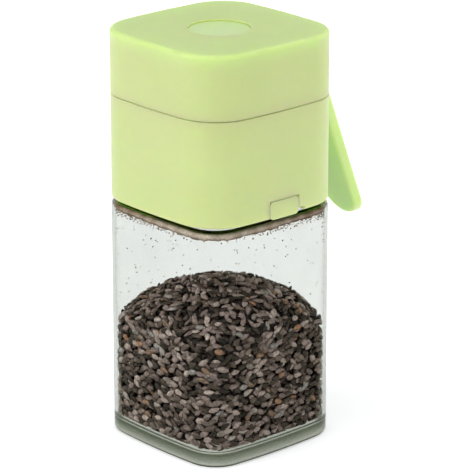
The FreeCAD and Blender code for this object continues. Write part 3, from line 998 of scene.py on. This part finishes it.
@dataclass
class ClingingDust:
    """Spice dust inside the glass: a smear under the shoulder, crumbs at its edge, specks below.

    Waves round the jar are pairs of how many there are in a turn and how strong they are.
    Two waves in a turn peak at the two corners that the photograph shows at its sides.
    """

    dust: bpy.types.Material
    tree: StrewTree
    outline: JarOutline
    wall_inset_mm: float = 1.15
    ceiling_z_mm: float = 80.05
    bend_mm: float = 0.8
    ceiling_mm: float = 0.9
    smear_mm: float = 0.1
    smear_foot_mm: float = 78.45
    smear_step_mm: float = 0.15
    rag_mm: float = 0.12
    rag_waves: tuple = ((2, 1.2), (9, 0.9), (23, 0.8), (61, 0.9), (97, 0.7))
    rag_sway: int = 5
    # The edge tone darkens the ragged foot, where the dust lies thicker, and the ceiling ring, as painted
    # shade under the collar; the bend's tone steps darker towards it too.
    edge_tone: float = 0.9
    wall_tone: float = 0.35
    bend_tone: float = 0.2
    bend_tone_step: float = 0.1
    streak_tone: float = 0.1
    streak_waves: tuple = ((2, 0.3), (31, 0.15))
    crumb_inset_mm: float = 0.25
    crumb_band_mm: float = 2.0
    crumb_cover: float = 1.0
    crumb_waves: tuple = ((2, 0.8),)
    speck_cover: float = 0.05
    speck_least: float = 0.5
    foot_z_mm: float = 46.0
    ring_points: int = 400
    wall_rings: int = 60
    arc_rings: int = 6
    crumbs: Strewing = Strewing(spacing_mm=0.5, tilt_deg=40.0, smallest=0.6, largest=1.3, seed=5)
    specks: Strewing = Strewing(spacing_mm=0.9, tilt_deg=40.0, smallest=0.5, largest=1.2, seed=9)

    def _waves(self, waves: tuple, sway: int = 0) -> np.ndarray:
        """Sum of waves round the jar, at each point of a ring.

        Args:
            waves: how many there are in a turn and how strong each is.
            sway: how often in a turn the waves crowd together, so that they do not look regular.

        Returns:
            The sum for each point.
        """
        turns = FULL_TURN * np.arange(self.ring_points) / self.ring_points
        return sum(strength * np.sin(count * turns + np.sin(sway * turns)) for count, strength in waves)

    def _smear(self) -> bpy.types.Object:
        """Thin coat of dust on the top of the wall and round the bend under the shoulder.

        Returns:
            The coat, with a ragged lower edge and a pale streak along its middle.
        """
        bend_z = self.ceiling_z_mm - self.bend_mm
        levels = [
            (self.wall_inset_mm, self.smear_foot_mm, self.edge_tone),
            (self.wall_inset_mm, bend_z - self.smear_step_mm, self.wall_tone),
        ]
        # Up the bend the tone darkens towards the collar, and the ceiling ring takes the dark edge tone:
        # painted shade under the collar's edge.
        for step in range(self.arc_rings + 1):
            angle = math.pi / 2 * step / self.arc_rings
            inset = self.wall_inset_mm + self.bend_mm * (1 - math.cos(angle))
            tone = self.bend_tone + self.bend_tone_step * step
            levels.append((inset, bend_z + self.bend_mm * math.sin(angle), tone))
        levels.append((self.wall_inset_mm + self.ceiling_mm, self.ceiling_z_mm, self.edge_tone))
        levels += [(inset + self.smear_mm, z - self.smear_mm, tone) for inset, z, tone in reversed(levels)]
        rings = [self.outline.ring(inset, z, self.ring_points) for inset, z, _ in levels]
        rag = self.rag_mm * self._waves(self.rag_waves, self.rag_sway)
        for ring in (rings[0], rings[-1]):
            for point, shift in zip(ring, rag):
                point.z += shift * MM
        mesh = loft("shoulder_smear", rings, Ends.LOOPED)
        streak = self.streak_tone + self._waves(self.streak_waves)
        set_share(mesh, TONE, np.concatenate([tone + streak for _, _, tone in levels]))
        mesh.materials.append(self.dust)
        return new_object("shoulder_smear", mesh)

    def _levels(self) -> np.ndarray:
        """Levels of the wall's rings, from the heap's edge up to the bend."""
        return np.linspace(self.foot_z_mm, self.ceiling_z_mm - self.bend_mm, self.wall_rings)

    def _wall(self) -> bpy.types.Mesh:
        """Surface just inside the glass wall.

        Returns:
            The surface as an open skin that looks inwards.
        """
        inset = self.wall_inset_mm + self.crumb_inset_mm
        rings = [self.outline.ring(inset, z, self.ring_points) for z in self._levels()]
        mesh = loft("glass_inside", rings, Ends.OPEN)
        mesh.flip_normals()
        return mesh

    def build(self) -> list[bpy.types.Object]:
        """Lay the smear, the crumbs along its edge and the specks on the wall.

        Returns:
            The dust as three pieces.
        """
        pieces = [self._smear()]
        crumb = Crumb().build()
        heights = np.repeat(self._levels(), self.ring_points)
        patches = np.tile(self.crumb_cover + self._waves(self.crumb_waves), self.wall_rings)
        edge = 1 - np.abs(heights - self.smear_foot_mm) / self.crumb_band_mm
        rise = (heights - self.foot_z_mm) / (self.smear_foot_mm - self.foot_z_mm)
        layers = (
            ("edge_crumbs", self.crumbs, edge * patches),
            ("wall_specks", self.specks, self.speck_cover * (self.speck_least + rise)),
        )
        for name, way, cover in layers:
            mesh = self._wall()
            set_share(mesh, COVER, cover)
            pieces.append(self.tree.strew(name, mesh, crumb, way, self.dust))
        bpy.data.objects.remove(crumb)
        for piece in pieces:
            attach(piece, Body.JAR.value)
        return pieces


@dataclass
class Dressing:
    """Finish of every solid that shows as it is."""

    finish: bpy.types.Material
    nodes: tuple

    def dress(self) -> None:
        """Give each node's slots the finish."""
        for name in self.nodes:
            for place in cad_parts[name].material_slots:
                place.material = self.finish
            log.info("%s: %s", name, self.finish.name)


@dataclass(frozen=True)
class Lamp:
    """Soft square lamp that looks at the jar: place and size in metres, power in watts."""

    name: str
    place: tuple
    size: float
    power: float
    colour: str = "#FFFFFF"


@dataclass
class Studio:
    """White paper floor, bright surround, soft lamps and the camera of the photograph."""

    azimuth_deg: float = 48.07
    elevation_deg: float = 18.79
    distance_mm: float = 1000.36
    target_z_mm: float = 68.54
    target_right_mm: float = 5.04
    focal_px: float = 3028.83
    frame_px: float = 470.0
    sensor_mm: float = 36.0
    far_m: float = 20.0
    floor_half_m: float = 6.0
    surround: float = 0.5
    surround_seen: float = 1.0
    aim_z_mm: float = 70.0
    lamps: tuple = (
        Lamp("key", (-0.6, -1.75, 1.5), 1.5, 25.0),
        Lamp("fill", (1.9, -0.5, 0.9), 1.6, 10.0),
        Lamp("back", (0.2, 1.8, 1.4), 1.6, 14.0),
        Lamp("top", (0.0, 0.0, 2.2), 1.8, 10.0, "#D8F0FF"),
    )

    def camera(self) -> None:
        """Stand the camera where the photograph was taken from."""
        azimuth = math.radians(self.azimuth_deg)
        elevation = math.radians(self.elevation_deg)
        right = Vector((math.cos(azimuth), math.sin(azimuth), 0))
        level = math.cos(elevation)
        back = Vector((math.sin(azimuth) * level, -math.cos(azimuth) * level, math.sin(elevation)))
        up = back.cross(right)
        target = Vector((0, 0, self.target_z_mm)) + right * self.target_right_mm
        data = bpy.data.cameras.new("photo_camera")
        data.sensor_fit = "HORIZONTAL"
        data.sensor_width = self.sensor_mm
        data.lens = self.focal_px / self.frame_px * self.sensor_mm
        data.clip_end = self.far_m
        camera = bpy.data.objects.new("photo_camera", data)
        camera.matrix_world = Matrix((right, up, back)).transposed().to_4x4()
        camera.location = (target + back * self.distance_mm) * MM
        bpy.context.scene.collection.objects.link(camera)
        bpy.context.scene.camera = camera

    def floor(self) -> None:
        """Lay the paper that the jar stands on."""
        half = self.floor_half_m
        corners = [(-half, -half, 0), (half, -half, 0), (half, half, 0), (-half, half, 0)]
        mesh = bpy.data.meshes.new("studio_floor")
        mesh.from_pydata(corners, [], [(0, 1, 2, 3)])
        mesh.materials.append(StudioFloor().build())
        paper = new_object("studio_floor", mesh)

    def light(self) -> None:
        """Set the bright surround, which the camera sees as white, and the soft lamps."""
        world = bpy.data.worlds.new("white_surround")
        world.use_nodes = True
        tree = world.node_tree
        tree.nodes.clear()
        strength = add_node(tree, "ShaderNodeMapRange", {
            "Value": add_node(tree, "ShaderNodeLightPath").outputs["Is Camera Ray"],
            "To Min": self.surround,
            "To Max": self.surround_seen,
        })
        sky = add_node(tree, "ShaderNodeBackground", {"Color": linear("#FFFFFF"), "Strength": strength})
        add_node(tree, "ShaderNodeOutputWorld", {"Surface": sky})
        bpy.context.scene.world = world
        aim = Vector((0, 0, self.aim_z_mm)) * MM
        for lamp in self.lamps:
            data = bpy.data.lights.new(lamp.name, "AREA")
            data.size = lamp.size
            data.energy = lamp.power
            data.color = linear(lamp.colour)[:3]
            light = bpy.data.objects.new(lamp.name, data)
            light.location = lamp.place
            light.rotation_euler = (aim - light.location).to_track_quat("-Z", "Y").to_euler()
            bpy.context.scene.collection.objects.link(light)

    def build(self) -> None:
        """Set up the whole studio."""
        self.camera()
        self.floor()
        self.light()
        view = bpy.context.scene.view_settings
        view.view_transform = "Standard"
        view.look = "None"


def main() -> None:
    """Dress the jar piece by piece and set up the studio."""
    logging.basicConfig(level=logging.INFO, format="%(name)s %(message)s")
    lime = MouldedPlastic("lime_polypropylene", "#BED286", "#C3D68D").build()
    backed = MouldedPlastic("backed_lime_polypropylene", "#C2D694", "#C6DA9B", soak_mm=0.8).build()
    natural = MouldedPlastic(
        "natural_polypropylene", "#E3E6D8", "#DADFCC", roughness=0.45, soak_mm=1.5
    ).build()
    dressings = (
        Dressing(SodaLimeGlass().build(), ("glass_jar",)),
        Dressing(lime, ("collar", "flip_lid", "release_tab", "screw_ring")),
        Dressing(backed, ("top_disc",)),
        Dressing(natural, ("spout", "shaker_plate", "lid_liner")),
        Dressing(Silicone().build(), ("rim_gasket", "lid_seal")),
        Dressing(DrawnSteel().build(), ("liner_screws", "hinge_pin", "closing_spring", "tab_pin")),
    )
    for dressing in dressings:
        dressing.dress()
    tree = StrewTree()
    outline = JarOutline()
    pieces = SeedHeap(SesameHusk().build(), tree, outline).build()
    pieces += ClingingDust(SpiceDust().build(), tree, outline).build()
    for piece in pieces:
        log.info("%s: %d faces", piece.name, len(piece.data.polygons))
    Studio().build()


if __name__ == "__main__":
    main()
